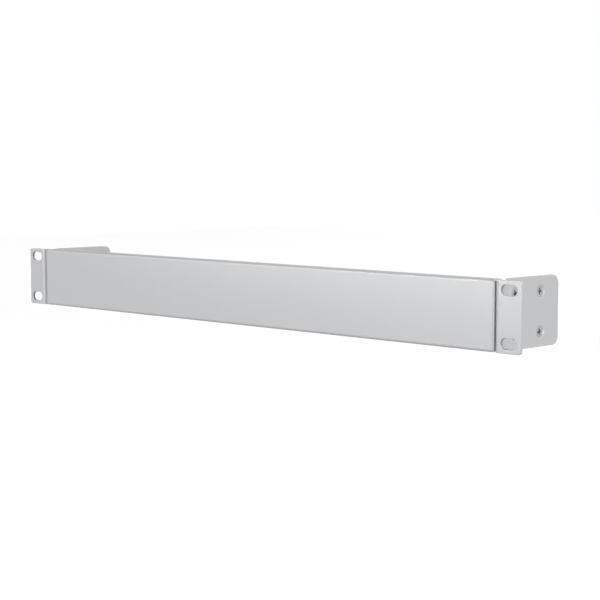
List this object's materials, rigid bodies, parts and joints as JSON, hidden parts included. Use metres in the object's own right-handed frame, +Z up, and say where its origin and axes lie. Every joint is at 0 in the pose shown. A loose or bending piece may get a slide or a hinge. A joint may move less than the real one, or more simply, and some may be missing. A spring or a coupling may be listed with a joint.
{
  "type": "rack blanking panel",
  "caption": "Plain folded-sheet blanking panel for a 19-inch rack, with slotted ear brackets screwed to its side wings.",
  "frame": {"origin": "centre of the four rack slots, on the rear face of the ears, which lies against the rack's rails", "axes": "+X along the panel to the right seen from the front, +Y from the front to the rear, +Z up"},
  "size_m": [0.4826, 0.064, 0.0436],
  "materials": {
    "panel_paint": "fine satin silver paint",
    "bracket_paint": "fine satin silver paint",
    "screw_steel": "bright zinc plate",
    "nut_steel": "bright zinc plate"
  },
  "bodies": {
    "root": {"front_panel": "panel_paint", "left_bracket": "bracket_paint", "right_bracket": "bracket_paint", "left_screw_front_bottom": "screw_steel", "left_screw_front_top": "screw_steel", "left_screw_rear_bottom": "screw_steel", "left_screw_rear_top": "screw_steel", "right_screw_front_bottom": "screw_steel", "right_screw_front_top": "screw_steel", "right_screw_rear_bottom": "screw_steel", "right_screw_rear_top": "screw_steel", "left_nut_front_bottom": "nut_steel", "left_nut_front_top": "nut_steel", "left_nut_rear_bottom": "nut_steel", "left_nut_rear_top": "nut_steel", "right_nut_front_bottom": "nut_steel", "right_nut_front_top": "nut_steel", "right_nut_rear_bottom": "nut_steel", "right_nut_rear_top": "nut_steel"}
  },
  "joints": []
}
